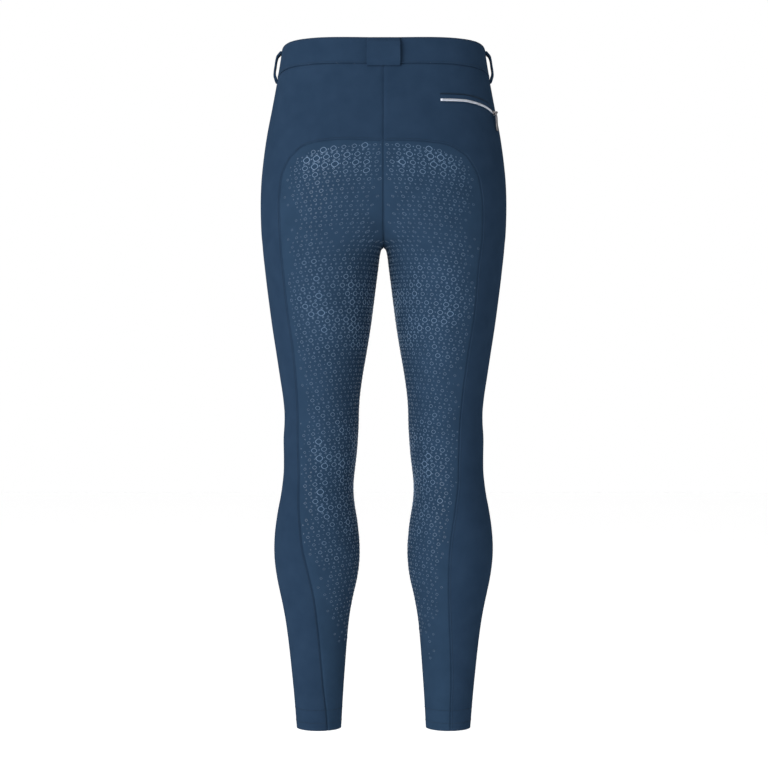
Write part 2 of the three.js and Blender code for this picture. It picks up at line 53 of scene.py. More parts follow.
# Sections of one half by height: inner edge, outer edge, centre, back, front, squareness.
# Above the crotch the inner edge lies beyond the centre seam, which cuts the section off.
SECTIONS = [
    (24, -151.6, 151.6, 0, -105, 105, 2.6),
    (-10, -156.8, 156.8, 0, -107, 107, 2.6),
    (-42, -162.6, 162.6, 0, -110.5, 108.5, 2.5),
    (-75, -178, 168.7, 2.5, -116.5, 110, 2.4),
    (-111, -182, 175.4, 8, -124.5, 110.5, 2.35),
    (-147.6, -177, 180.5, 17, -131.5, 110.3, 2.3),
    (-184, -152, 184, 29, -135.7, 109.7, 2.25),
    (-220, -106, 185.1, 43.5, -135.5, 108.7, 2.2),
    (-238.5, -77, 184.9, 52.5, -133, 108, 2.16),
    (-256.7, -45, 184.3, 62.5, -129.6, 107.2, 2.12),
    (-268, -24.5, 183.6, 69.5, -127, 106.6, 2.1),
    (-275, -10, 182.9, 74.5, -125.3, 106.2, 2.08),
    (-279.4, 0, 182.5, 78, -124.2, 105.9, 2.07),
    (-282, 2.4, 182.3, 80, -123.5, 105.7, 2.06),
    (-286, 4, 182, 82.6, -122.4, 105.4, 2.05),
    (-293.1, 5.5, 181.4, 86, -120.5, 104.9, 2.04),
    (-310, 7.7, 179.6, 90.3, -116, 103.6, 2.02),
    (-329.4, 10.2, 177.5, 92.7, -111.5, 101.8, 2),
    (-365.8, 14.8, 173, 93.9, -104.5, 97.8, 2),
    (-402.2, 19.6, 168.1, 93.9, -98.5, 93, 2),
    (-438.5, 25.5, 162.5, 94, -92, 87.5, 2),
    (-474.9, 31.7, 157, 94.3, -84.3, 81.3, 2),
    (-511.2, 36.3, 151.7, 94, -75.8, 75.5, 2),
    (-529.4, 37.3, 150.1, 93.7, -71.2, 73.2, 2),
    (-547.6, 37.7, 150.2, 94, -67, 71.3, 2),
    (-565.8, 38.6, 151.4, 95, -64, 69.5, 2),
    (-602.2, 41.7, 151.1, 96.4, -61.5, 65.7, 2),
    (-620.3, 43.9, 151.3, 97.6, -62.4, 63.2, 2),
    (-638.5, 45.5, 153, 99.2, -65, 60.3, 2),
    (-656.7, 45.1, 155.5, 100.3, -69, 57.3, 2),
    (-674.9, 42.7, 158.9, 100.8, -73, 54.2, 2),
    (-693.1, 39.6, 161.7, 100.6, -76.5, 51.3, 2),
    (-711.2, 37.5, 163.7, 100.6, -79, 48.6, 2),
    (-729.4, 36.1, 164.6, 100.4, -80.2, 46.3, 2),
    (-747.6, 36.1, 164.2, 100.2, -79.7, 44.2, 2),
    (-765.8, 37.7, 162.3, 100, -77.8, 42.2, 2),
    (-784, 40.8, 159.3, 100, -74.8, 40.3, 2),
    (-802.2, 45.1, 155.5, 100.3, -71, 38.4, 2),
    (-820.3, 48.7, 151.7, 100.2, -67, 36.6, 2),
    (-838.5, 51.6, 148.4, 100, -63, 35, 2),
    (-874.9, 55.2, 143.4, 99.3, -56.4, 32.2, 2),
    (-911.2, 58, 139.5, 98.8, -51, 30.5, 2),
    (-965.8, 61.7, 134.3, 98, -45.6, 30.5, 2),
    (-1005.5, 63.9, 131.3, 97.6, -42.5, 32.5, 2),
]

# Waistband edges by angle round the waist, -90 at the back and 90 at the front: angle, seam, top
WAISTBAND = [
    (-90, -18, 20),
    (-50, -17, 22.3),
    (-25, -19.5, 21.2),
    (-12, -23.5, 18.8),
    (0, -27, 16),
    (30, -33, 9),
    (60, -38, 3),
    (90, -40, 0),
]

# Near the crotch a section's inner half stays wider away from its inner edge: height, swell
CROTCH_SWELL = [
    (24, 0),
    (-184, 0),
    (-220, 1),
    (-238.5, 4),
    (-256.7, 9),
    (-268, 13),
    (-275, 17),
    (CROTCH_Z, 19),
    (-282, 17.6),
    (-286, 14.5),
    (-293.1, 9.5),
    (-310, 4.2),
    (-329.4, 1.8),
    (-365.8, 0.4),
    (-402.2, 0),
    (HEM_Z, 0),
]

# Inner front seam of the leg by height: height, angle round the leg
INNER_SEAM = [
    (CROTCH_Z, 180),
    (-292, 172),
    (-312, 163),
    (-348, 154),
    (-420, 148),
    (-550, 145),
    (-650, 145),
    (-750, 148),
    (-850, 152),
    (HEM_Z, 158),
]

# Upper edge of the seat panel, from the centre seam outwards: distance from centre, height
SEAT_TOP = {
    "left": [
        [0, -133], [25.4, -132.1], [53, -130.9], [83.7, -132.3],
        [103.2, -135], [120.5, -141.2], [134.4, -153.1],
    ],
    "right": [[0, -133], [32.6, -132.8], [67.4, -134.9], [100.4, -140.5], [122.5, -154.3]],
}

# Outer edge of the seat panel, from its rounded corner to the hem: height, distance from centre
SEAT_SIDE = {
    "left": [
        [-153.1, 134.4], [-166.8, 143], [-183.3, 149.3], [-200.3, 151.5], [-215.7, 152.9], [-256.4, 152.2],
        [-292.2, 150.3], [-333.8, 146.4], [-383.5, 141.1], [-430.4, 134.1], [-477.5, 129.8], [-524.7, 127.4],
        [-572.3, 127], [-619.8, 125.7], [-666.2, 125.3], [-702.3, 122.6], [-726.6, 119.9], [-763.4, 111.4],
        [-800.7, 103], [-846, 97.3], [-896.5, 92.7], [-939.4, 89.1], [-984.8, 84.2], [HEM_Z, 83],
    ],
    "right": [
        [-154.3, 122.5], [-177.9, 137.3], [-206.9, 144], [-232.2, 146.3], [-268.5, 145.8], [-313.6, 140.5],
        [-383.6, 134.9], [-442.2, 125.8], [-501.1, 118], [-524.6, 115.8], [-560.3, 113.6], [-595.5, 112.6],
        [-636, 111.6], [-665, 107.8], [-690.1, 104], [-714.2, 100.2], [-738.6, 97.9], [-775.7, 96.7],
        [-825.8, 97.6], [-876.2, 99.8], [-926.7, 101.3], [-976.6, 100.2], [HEM_Z, 100],
    ],
}

# Back pocket zip on the wearer's right: angle, height of the zip's middle
POCKET = [
    (-65, -71.8),
    (-55, -71),
    (-47.8, -71),
    (-41.5, -72.4),
    (-34.2, -74.8),
    (-28.3, -77.4),
    (-22.5, -81.2),
    (-16.5, -85.6),
]

# Soft creases: side, angle, height, length, tilt, half-width, depth (a ridge is negative), bend
CREASES = [
    ("left", -118, -258, 70, 52, 12, 0.8, 6),
    ("left", -134, -318, 56, 64, 11, 0.7, 5),
    ("left", -84, -592, 46, 7, 7, 0.9, 4),
    ("left", -112, -607, 38, -9, 6, 0.7, -3),
    ("left", -72, -621, 30, 12, 5, -0.5, 2),
    ("left", -140, -868, 34, 20, 7, 0.6, 3),
    ("left", 62, -232, 104, -34, 13, 2.6, 8),
    ("left", 86, -258, 78, -46, 9, 2.1, 5),
    ("left", 70, -206, 60, -22, 10, -1.1, 6),
    ("left", 40, -560, 54, 10, 10, 1.2, 4),
    ("right", -114, -252, 62, 54, 11, 0.7, -5),
    ("right", -136, -326, 48, 66, 10, 0.7, 4),
    ("right", -78, -598, 42, -6, 6, 0.8, 3),
    ("right", -118, -612, 44, 8, 7, 0.8, 4),
    ("right", -64, -640, 28, -14, 5, -0.5, -2),
    ("right", -60, -902, 36, -18, 8, 0.7, 3),
    ("right", 58, -240, 92, -38, 12, 2.3, -7),
    ("right", 87, -264, 70, -48, 9, 2.0, 4),
    ("right", 76, -222, 52, -30, 9, -0.9, -5),
    ("right", 36, -572, 50, -12, 9, 1.0, 3),
]

# Strength of the grip print down the leg: height, strength
PRINT_STRENGTH = [
    (-110, 0.7),
    (-140, 1.0),
    (-172, 0.95),
    (-198, 0.5),
    (-240, 0.3),
    (-290, 0.34),
    (-325, 0.62),
    (-370, 0.86),
    (-420, 0.7),
    (-460, 0.44),
    (-520, 0.44),
    (-560, 0.68),
    (-620, 0.9),
    (-680, 0.72),
    (-740, 0.46),
    (-830, 0.26),
    (-915, 0.1),
]


def curve(table, column=1):
    """A smooth curve through a table's first column and one of its others."""
    rows = sorted(table, key=lambda row: row[0])
    x = np.array([row[0] for row in rows], float)
    y = np.array([row[column] for row in rows], float)
    run = np.diff(x)
    chord = np.diff(y) / run
    slope = np.empty(len(x))
    slope[0] = chord[0]
    slope[-1] = chord[-1]
    slope[1:-1] = (run[1:] * chord[:-1] + run[:-1] * chord[1:]) / (run[1:] + run[:-1])

    def read(at):
        at = np.asarray(at, float)
        i = np.clip(np.searchsorted(x, at, side="right") - 1, 0, len(x) - 2)
        t = np.clip((at - x[i]) / run[i], 0, 1)
        rise = y[i + 1] - y[i]
        bend = (1 - t) * (slope[i] * run[i] - rise) - t * (slope[i + 1] * run[i] - rise)
        return y[i] + rise * t + t * (1 - t) * bend

    return read


section_curves = [curve(SECTIONS, column) for column in range(1, 7)]
crotch_swell = curve(CROTCH_SWELL)
seam_height = curve(WAISTBAND, 1)
top_height = curve(WAISTBAND, 2)
inner_seam_angle = curve(INNER_SEAM)
zip_height = curve(POCKET)
print_strength = curve(PRINT_STRENGTH)


def signed_power(value, power):
    return np.sign(value) * np.abs(value) ** power


def section_at(z):
    inner_edge, outer_edge, centre, back, front, squareness = [read(z) for read in section_curves]
    return centre, centre - inner_edge, outer_edge - centre, crotch_swell(z), back, front, squareness


def inner_span(inner, swell, reach):
    """How far a section's inner half comes in, at a reach of 0 to 1 towards its inner edge."""
    return (inner + swell * (1 - reach ** 4)) * reach


def front_angle(x, z):
    """The angle on the front of a section at a distance from the centre line."""
    z = np.asarray(z, float)
    centre, inner, outer, swell, _, _, squareness = section_at(z)
    low = np.zeros(np.broadcast(x, z).shape)
    high = np.ones_like(low)
    for _ in range(34):
        middle = (low + high) / 2
        beyond = centre - inner_span(inner, swell, middle) > x
        low = np.where(beyond, middle, low)
        high = np.where(beyond, high, middle)
    outward = np.minimum((x - centre) / outer, 1)
    inward = np.where(x <= centre - inner, -1, -low)
    reach = np.where(x >= centre, outward, inward)
    return np.arccos(signed_power(reach, squareness / 2))


def back_angle(x, z):
    return -front_angle(x, z)


def centre_angle(z):
    """The angle where a section meets the centre seam, or 180 degrees on a leg of its own."""
    return front_angle(0.0, z)


def surface(angle, z):
    """Points of the right half's outer surface, 0 at the side and -90 degrees at the back."""
    centre, inner, outer, swell, back, front, squareness = section_at(z)
    reach = signed_power(np.cos(angle), 2 / squareness)
    inward = inner_span(inner, swell, np.maximum(-reach, 0))
    x = centre + np.where(reach > 0, outer * reach, -inward)
    y = (back + front) / 2 + (front - back) / 2 * signed_power(np.sin(angle), 2 / squareness)
    return np.stack([x, y, np.broadcast_to(z, x.shape)], axis=-1)


def frames(angle, z):
    """Unit vectors along, up and out of the surface, and millimetres per radian along it."""
    turn, rise = 0.02, 1.5
    along = surface(angle + turn, z) - surface(angle - turn, z)
    up = surface(angle, z + rise) - surface(angle, z - rise)
    pace = np.linalg.norm(along, axis=-1) / (2 * turn)
    out = np.cross(along, up)
    out /= np.linalg.norm(out, axis=-1, keepdims=True)
    along /= np.linalg.norm(along, axis=-1, keepdims=True)
    return along, np.cross(out, along), out, pace


def crease_lift(side, angle, z):
    """How far the soft creases move the cloth in or out."""
    lift = np.zeros(np.broadcast(angle, z).shape)
    for where, middle, height, length, tilt, width, depth, bend in CREASES:
        if where != side:
            continue
        centre, inner, outer, _, back, front, _ = section_at(height)
        pace = (inner + outer + front - back) / 4
        turn = (angle - math.radians(middle) + math.pi) % (2 * math.pi) - math.pi
        run = turn * pace
        rise = z - height
        slant = math.radians(tilt)
        along = (run * math.cos(slant) + rise * math.sin(slant)) / (length / 2)
        across = rise * math.cos(slant) - run * math.sin(slant) + bend * along ** 2
        taper = np.where(np.abs(along) < 1, np.cos(along * math.pi / 2) ** 2, 0)
        lift -= depth * taper * np.exp(-(across / width) ** 2)
    return lift


ON_CENTRE = 0.02


def on_cloth(side, angle, z, lift):
    """Points at a lift over the creased cloth, on the wearer's left or right."""
    angle, z = np.broadcast_arrays(np.asarray(angle, float), np.asarray(z, float))
    _, _, out, _ = frames(angle, z)
    base = surface(angle, z)
    points = base + out * (lift + crease_lift(side, angle, z))[..., None]
    points[..., 0][np.abs(base[..., 0]) < ON_CENTRE] = 0
    if side == "left":
        points[..., 0] *= -1
    return points


# Materials

def new_material(name, color, roughness, metallic=0.0):
    material = bpy.data.materials.new(name)
    material.use_nodes = True
    shader = material.node_tree.nodes["Principled BSDF"]
    shader.inputs["Base Color"].default_value = (*color, 1)
    shader.inputs["Roughness"].default_value = roughness
    shader.inputs["Metallic"].default_value = metallic
    return material, material.node_tree, shader


def add_node(tree, kind, **inputs):
    node = tree.nodes.new(kind)
    for name, value in inputs.items():
        node.inputs[name.replace("_", " ")].default_value = value
    return node


def object_space(tree, scale, turn=0.0):
    """Object coordinates, scaled and turned about the upright axis of the garment's back."""
    place = tree.nodes.new("ShaderNodeTexCoord")
    mapping = add_node(tree, "ShaderNodeMapping", Scale=scale, Rotation=(0, turn, 0))
    tree.links.new(place.outputs["Object"], mapping.inputs["Vector"])
    return mapping.outputs["Vector"]


def noise(tree, vector, scale, detail=3.0):
    node = add_node(tree, "ShaderNodeTexNoise", Scale=scale, Detail=detail)
    tree.links.new(vector, node.inputs["Vector"])
    return node.outputs["Fac"]


def mix_colors(tree, factor, low, high):
    ramp = tree.nodes.new("ShaderNodeValToRGB")
    ramp.color_ramp.elements[0].position = 0.3
    ramp.color_ramp.elements[1].position = 0.7
    ramp.color_ramp.elements[0].color = (*low, 1)
    ramp.color_ramp.elements[1].color = (*high, 1)
    tree.links.new(factor, ramp.inputs["Fac"])
    return ramp.outputs["Color"]


def cloth_material(name, dark, light):
    """Stretch twill: fine slanting ribs, a little wear in the dye, a soft sheen."""
    material, tree, shader = new_material(name, light, 0.9)
    shader.inputs["Sheen Weight"].default_value = 0.02
    shader.inputs["Sheen Roughness"].default_value = 0.5
    shader.inputs["Sheen Tint"].default_value = (0.4, 0.62, 0.9, 1)
    shader.inputs["Specular IOR Level"].default_value = 0.0
    plain = object_space(tree, (1, 1, 1))
    color = mix_colors(tree, noise(tree, plain, 38, 5), dark, light)
    tree.links.new(color, shader.inputs["Base Color"])
    ribs = add_node(tree, "ShaderNodeTexWave", Scale=420, Distortion=1.6, Detail=2)
    ribs.bands_direction = "DIAGONAL"
    tree.links.new(plain, ribs.inputs["Vector"])
    weave = add_node(tree, "ShaderNodeBump", Strength=0.22, Distance=0.0004)
    tree.links.new(ribs.outputs["Fac"], weave.inputs["Height"])
    ease = add_node(tree, "ShaderNodeBump", Strength=0.16, Distance=0.003)
    tree.links.new(noise(tree, plain, 14, 2), ease.inputs["Height"])
    tree.links.new(weave.outputs["Normal"], ease.inputs["Normal"])
    tree.links.new(ease.outputs["Normal"], shader.inputs["Normal"])
    return material


def print_material():
    """Silicone print: pale blue where it is fresh, close to the cloth where it fades."""
    material, tree, shader = new_material("silicone_print", (0.1, 0.19, 0.31), 0.42)
    fade = tree.nodes.new("ShaderNodeAttribute")
    fade.attribute_name = "fade"
    ramp = tree.nodes.new("ShaderNodeValToRGB")
    ramp.color_ramp.elements[0].color = (0.03, 0.062, 0.112, 1)
    ramp.color_ramp.elements[1].color = (0.12, 0.2, 0.315, 1)
    tree.links.new(fade.outputs["Fac"], ramp.inputs["Fac"])
    tree.links.new(ramp.outputs["Color"], shader.inputs["Base Color"])
    grain = add_node(tree, "ShaderNodeBump", Strength=0.15, Distance=0.0002)
    tree.links.new(noise(tree, object_space(tree, (1, 1, 1)), 900), grain.inputs["Height"])
    tree.links.new(grain.outputs["Normal"], shader.inputs["Normal"])
    return material


def worn_metal(name, dark, light, roughness):
    material, tree, shader = new_material(name, light, roughness, 0.85)
    plain = object_space(tree, (1, 1, 1))
    color = mix_colors(tree, noise(tree, plain, 260, 4), dark, light)
    tree.links.new(color, shader.inputs["Base Color"])
    scratches = add_node(tree, "ShaderNodeBump", Strength=0.12, Distance=0.0001)
    tree.links.new(noise(tree, object_space(tree, (1, 1, 6)), 700), scratches.inputs["Height"])
    tree.links.new(scratches.outputs["Normal"], shader.inputs["Normal"])
    return material


def thread_material(name, dark, light):
    material, tree, shader = new_material(name, light, 0.75)
    shader.inputs["Sheen Weight"].default_value = 0.03
    shader.inputs["Specular IOR Level"].default_value = 0.1
    color = mix_colors(tree, noise(tree, object_space(tree, (1, 1, 1)), 800), dark, light)
    tree.links.new(color, shader.inputs["Base Color"])
    return material


def button_material():
    material, tree, shader = new_material("button_horn", (0.02, 0.035, 0.06), 0.32)
    streaks = noise(tree, object_space(tree, (1, 1, 5)), 190, 6)
    color = mix_colors(tree, streaks, (0.012, 0.02, 0.036), (0.04, 0.06, 0.095))
    tree.links.new(color, shader.inputs["Base Color"])
    shader.inputs["Coat Weight"].default_value = 0.25
    return material


NAVY = cloth_material("navy_stretch_cloth", (0.015, 0.0318, 0.0615), (0.0182, 0.0372, 0.0705))
SEAT = cloth_material("seat_stretch_cloth", (0.017, 0.0365, 0.0685), (0.0202, 0.0425, 0.079))
PRINT = print_material()
# Painted shadow: a near-black navy for the strip along the welt's top edge, where the welt throws shade
SHADOW_STRIP = thread_material("painted_shadow_strip", (0.004, 0.01, 0.019), (0.007, 0.015, 0.027))
THREAD = thread_material("navy_thread", (0.009, 0.021, 0.038), (0.014, 0.03, 0.052))
SILVER = worn_metal("silver_zip", (0.74, 0.78, 0.85), (0.93, 0.95, 1.0), 0.42)
SILVER_TAPE = thread_material("silver_tape", (0.6, 0.63, 0.7), (0.76, 0.79, 0.86))
BRONZE = worn_metal("bronze_grey_metal", (0.068, 0.064, 0.068), (0.14, 0.133, 0.138), 0.4)
BUTTON = button_material()


# Meshes

def add_piece(name, points, faces, material, slot, smooth=True):
    """An object in metres from points in millimetres, riding on the garment."""
    mesh = bpy.data.meshes.new(name)
    mesh.from_pydata((np.asarray(points).reshape(-1, 3) / 1000).tolist(), [], faces)
    mesh.materials.append(material)
    if smooth:
        mesh.shade_smooth()
        mesh.set_sharp_from_angle(angle=math.radians(48))
    piece = bpy.data.objects.new(name, mesh)
    bpy.context.scene.collection.objects.link(piece)
    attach(piece, BODY)
    return piece


def shell_faces(rows, columns, flipped):
    """Faces of a closed wall between an outer and an inner grid of points."""
    index = np.arange(2 * rows * columns).reshape(2, rows, columns)
    out, inn = index
    quads = [
        np.stack([out[:-1, :-1], out[1:, :-1], out[1:, 1:], out[:-1, 1:]], -1).reshape(-1, 4),
        np.stack([inn[:-1, :-1], inn[:-1, 1:], inn[1:, 1:], inn[1:, :-1]], -1).reshape(-1, 4),
        np.stack([out[1:, 0], out[:-1, 0], inn[:-1, 0], inn[1:, 0]], -1),
        np.stack([out[:-1, -1], out[1:, -1], inn[1:, -1], inn[:-1, -1]], -1),
        np.stack([out[0, :-1], out[0, 1:], inn[0, 1:], inn[0, :-1]], -1),
        np.stack([out[-1, 1:], out[-1, :-1], inn[-1, :-1], inn[-1, 1:]], -1),
    ]
    faces = np.concatenate(quads)
    return (faces[:, ::-1] if flipped else faces).tolist()


def welded(points, faces):
    """Merges points that lie together, and drops the corners and faces that this closes up."""
    flat = np.asarray(points).reshape(-1, 3)
    keys = (flat * 1000).round().astype(int)
    _, first, index = np.unique(keys, axis=0, return_index=True, return_inverse=True)
    mapped = index.reshape(-1)[np.asarray(faces)]
    kept = []
    for face in mapped.tolist():
        corners = [corner for k, corner in enumerate(face) if corner != face[k - 1]]
        if len(set(corners)) > 2:
            kept.append(corners)
    return flat[first], kept


def border_distances(points):
    """Distance of each grid point from the top, bottom, left and right border."""
    down = np.linalg.norm(np.diff(points, axis=0), axis=-1)
    over = np.linalg.norm(np.diff(points, axis=1), axis=-1)
    top = np.vstack([np.zeros(points.shape[1]), np.cumsum(down, axis=0)])
    left = np.hstack([np.zeros((points.shape[0], 1)), np.cumsum(over, axis=1)])
    return top, top[-1:] - top, left, left[:, -1:] - left


def rounding(distance, radius):
    """How far a soft edge falls away at a distance from the border."""
    part = 1 - np.clip(distance / radius, 0, 1)
    return radius * (1 - np.sqrt(1 - part ** 2))


def grid_area(points):
    first = np.cross(points[1:, :-1] - points[:-1, :-1], points[1:, 1:] - points[:-1, :-1])
    second = np.cross(points[1:, 1:] - points[:-1, :-1], points[:-1, 1:] - points[:-1, :-1])
    return (np.linalg.norm(first, axis=-1).sum() + np.linalg.norm(second, axis=-1).sum()) / 2e6


def clustered(steps, tight=(0.004, 0.012, 0.024)):
    """Steps from 0 to 1 that are closer at both ends."""
    middle = np.linspace(tight[-1] * 1.8, 1 - tight[-1] * 1.8, steps)
    ends = np.array(tight)
    return np.concatenate([[0], ends, middle, 1 - ends[::-1], [1]])


# Sewn edges sink into a groove and pucker a little; no cut that a shell gives back is narrower than the
# least
GROOVE_DEPTH, GROOVE_REACH = 1.4, 1.15
PUCKER_HEIGHT, PUCKER_REACH, PUCKER_PITCH = 0.1, 5, 11
LEAST_CUT = 0.01


def seam_lift(borders, edges):
    """How far the cloth moves in or out near its sewn edges."""
    named = dict(zip(("top", "bottom", "left", "right"), borders))
    nearest = np.minimum.reduce([named[edge] for edge in edges])
    wave = np.sin((named["top"] + named["left"]) * 2 * math.pi / PUCKER_PITCH)
    pucker = PUCKER_HEIGHT * wave * np.exp(-(nearest / PUCKER_REACH) ** 2)
    return pucker - GROOVE_DEPTH * np.exp(-(nearest / GROOVE_REACH) ** 2)


def cloth_shell(
        side, node, places, outer_lift, inner_lift, material=NAVY, slot="cloth", pillow=0.0, seam=None):
    """A thin shell on the garment's form that stands for a node, with its flat cut and area."""
    angle, z = places[..., 0], places[..., 1]
    flat_form = surface(angle, z)
    borders = border_distances(flat_form)
    outer = outer_lift + np.zeros_like(angle)
    inner = inner_lift + np.zeros_like(angle)
    if pillow:
        nearest = np.minimum.reduce(borders)
        outer = outer - rounding(nearest, pillow)
        inner = inner + rounding(nearest, pillow * 0.5)
    if seam:
        outer = outer + seam_lift(borders, seam)
        inner = inner + seam_lift(borders, seam)
    points = np.stack([on_cloth(side, angle, z, outer), on_cloth(side, angle, z, inner)])
    faces = shell_faces(*angle.shape, side == "left")
    piece = add_piece(f"cloth_{node}", *welded(points, faces), material, slot)
    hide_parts(node)
    area = grid_area(points[0])
    width = float(borders[2][:, -1].max()) / 1000
    length = float(borders[0][-1].max()) / 1000
    if length < LEAST_CUT:
        return piece, (width, LEAST_CUT), area
    return piece, (width, length), min(area, width * length)


def places_between(inner, outer, steps):
    """A strip of [part, z] places between two edges."""
    t = steps[None, :, None]
    return inner[:, None, :] * (1 - t) + outer[:, None, :] * t


def to_angles(places):
    angle = places[..., 0] * centre_angle(places[..., 1])
    return np.stack([angle, places[..., 1]], axis=-1)


SEAT_STEPS = clustered(46)
INNER_LEG_STEPS = clustered(9, (0.02, 0.06, 0.12))[:-1]
FRONT_OUTER_STEPS = clustered(22)
FRONT_INNER_STEPS = clustered(28)[1:]
BACK_STEPS = clustered(30)
CENTRE_CLOSENESS = 1.5
FRONT_SPLIT = 0.62
FRONT_TOP_GUESS = -35.0
FRONT_TOP_ROUNDS = 5
SHARED_TOP = -187
UPPER_FALL = np.concatenate([[0, 0.005, 0.012, 0.022, 0.04], np.linspace(0.07, 1, 28)[:-1]])
SHARED_ROWS = np.concatenate([
    np.linspace(SHARED_TOP, -258, 22),
    np.linspace(-260, -270, 7),
    np.linspace(-271, -277, 9),
    np.linspace(-277.5, -281.5, 17),
    np.linspace(-282.2, -290, 10),
    np.linspace(-292, HEM_Z + HEM_DEPTH, 174),
    np.linspace(HEM_Z + HEM_DEPTH - 3, HEM_Z + 2, 9),
    [HEM_Z + 1, HEM_Z + 0.4, HEM_Z],
])


def rows_below(top):
    """Heights of every row and column, from the heights of a panel's upper edge down to the hem."""
    top = np.atleast_1d(top)[None, :]
    upper = top + (SHARED_TOP - top) * UPPER_FALL[:, None]
    return np.concatenate([upper, np.repeat(SHARED_ROWS[:, None], top.shape[1], axis=1)])


def part_places(angle, z):
    return np.stack([angle / centre_angle(z), z + np.zeros_like(angle)], axis=-1)


def seat_edge(side):
    """Outer edge of the seat panel, from the centre seam round its corner to the hem."""
    top = curve(SEAT_TOP[side])
    sideways = curve(SEAT_SIDE[side])
    corner_x, corner_z = SEAT_TOP[side][-1]
    x = corner_x * SEAT_STEPS
    across = part_places(back_angle(x, top(x)), top(x))
    across[0, 0] = -1
    z = rows_below(corner_z)[:, 0]
    down = part_places(back_angle(sideways(z), z), z)
    return across, down


def side_seam():
    z = rows_below(float(seam_height(SIDE_SEAM_DEGREES)))[:, 0]
    return part_places(np.full(len(z), math.radians(SIDE_SEAM_DEGREES)), z)


def waist_seam(first, last, steps):
    degrees = first + (last - first) * steps
    places = part_places(np.radians(degrees), seam_height(degrees))
    if first == -90:
        places[0, 0] = -1
    if last == 90:
        places[-1, 0] = 1
    return places


SEWN = ("top", "left", "right")
PANEL_INSIDE = -1.2
HEM_INSIDE = -2.2


def hem_wall(places):
    """Depth of a panel's inside, which is doubled over the turned-up hem."""
    return np.where(places[..., 1] <= HEM_Z + HEM_DEPTH, HEM_INSIDE, PANEL_INSIDE)


def seat_panel(side):
    """Columns run from the inner seam round the inner leg, then across the back, closer at its middle."""
    reach = SEAT_STEPS ** CENTRE_CLOSENESS
    corner_x = SEAT_TOP[side][-1][0]
    z = rows_below(curve(SEAT_TOP[side])(corner_x * reach))
    inner = np.maximum(section_curves[0](z), 0)
    x = inner + (curve(SEAT_SIDE[side])(z) - inner) * reach
    across = np.stack([back_angle(x, z), z], axis=-1)
    height = z[:, :1]
    fold = np.where(height > CROTCH_Z, centre_angle(height), math.pi)
    seam = np.where(height > CROTCH_Z, fold, 2 * math.pi - np.radians(inner_seam_angle(height)))
    turn = -(seam + (fold - seam) * INNER_LEG_STEPS)
    inside = np.stack([turn, height + np.zeros_like(turn)], axis=-1)
    places = np.concatenate([inside, across], axis=1)
    return cloth_shell(side, f"seat_{side}", places, 0, hem_wall(places), SEAT, "seat_cloth", seam=SEWN)


def back_panel(side):
    top, down = seat_edge(side)
    inner = np.concatenate([top, down[1:]])
    outer = np.concatenate([waist_seam(-90, SIDE_SEAM_DEGREES, SEAT_STEPS), side_seam()[1:]])
    places = to_angles(places_between(inner, outer, BACK_STEPS))
    return cloth_shell(side, f"back_{side}", places, 0, hem_wall(places), seam=SEWN)


def front_angles(z):
    """Angles of a front panel's columns: by angle near the side seam, by distance near the centre."""
    split = FRONT_SPLIT * section_curves[1](z)
    start = math.radians(SIDE_SEAM_DEGREES)
    outer_z, inner_z = z[:, :len(FRONT_OUTER_STEPS)], z[:, len(FRONT_OUTER_STEPS):]
    outer_split = front_angle(split[:, :len(FRONT_OUTER_STEPS)], outer_z)
    outer = start + (outer_split - start) * FRONT_OUTER_STEPS
    seam = np.where(inner_z > CROTCH_Z, 0, surface(np.radians(inner_seam_angle(inner_z)), inner_z)[..., 0])
    x = seam + (split[:, len(FRONT_OUTER_STEPS):] - seam) * (1 - FRONT_INNER_STEPS) ** CENTRE_CLOSENESS
    return np.concatenate([outer, front_angle(x, inner_z)], axis=1)


def front_panel(side):
    """The waist seam's height and the columns' angles depend on each other, so they are found in turns."""
    top = np.full(len(FRONT_OUTER_STEPS) + len(FRONT_INNER_STEPS), FRONT_TOP_GUESS)
    for _ in range(FRONT_TOP_ROUNDS):
        top = seam_height(np.degrees(front_angles(top[None, :])[0]))
    z = rows_below(top)
    places = np.stack([front_angles(z), z], axis=-1)
    return cloth_shell(side, f"front_{side}", places, 0, hem_wall(places), seam=SEWN)


# Waistband, whose left end rises over the right one
LAP_DEGREES = 8
LAP_START, LAP_RISE_DEGREES = 80, 9
BAND_INSIDE = -1.9
BAND_OUTSIDE = 0.5
LAY = 0.3
LAP_LIFT = BAND_OUTSIDE - BAND_INSIDE + LAY
BAND_ROWS = np.array([
    0, 0.008, 0.02, 0.04, 0.07, 0.12, 0.2, 0.3, 0.4, 0.5, 0.6, 0.7, 0.8, 0.88, 0.93, 0.96, 0.98, 0.992, 1,
])


def fold_back(degrees):
    return np.minimum(degrees, 180 - degrees)


def lap_lift(side, degrees):
    if side == "right":
        return np.zeros_like(degrees)
    t = np.clip((degrees - LAP_START) / LAP_RISE_DEGREES, 0, 1)
    return LAP_LIFT * t * t * (3 - 2 * t)


def waistband(side):
    last = 90 + LAP_DEGREES if side == "left" else 90
    degrees = -90 + (last + 90) * clustered(150, (0.0015, 0.004, 0.008))
    top = top_height(fold_back(degrees))
    bottom = seam_height(fold_back(degrees))
    z = top[None, :] + (bottom - top)[None, :] * BAND_ROWS[:, None]
    angle = np.radians(degrees)[None, :] + np.zeros_like(z)
    places = np.stack([angle, z], axis=-1)
    lap = lap_lift(side, degrees)[None, :]
    return cloth_shell(side, f"waistband_{side}", places, BAND_OUTSIDE + lap, BAND_INSIDE + lap, pillow=0.9)


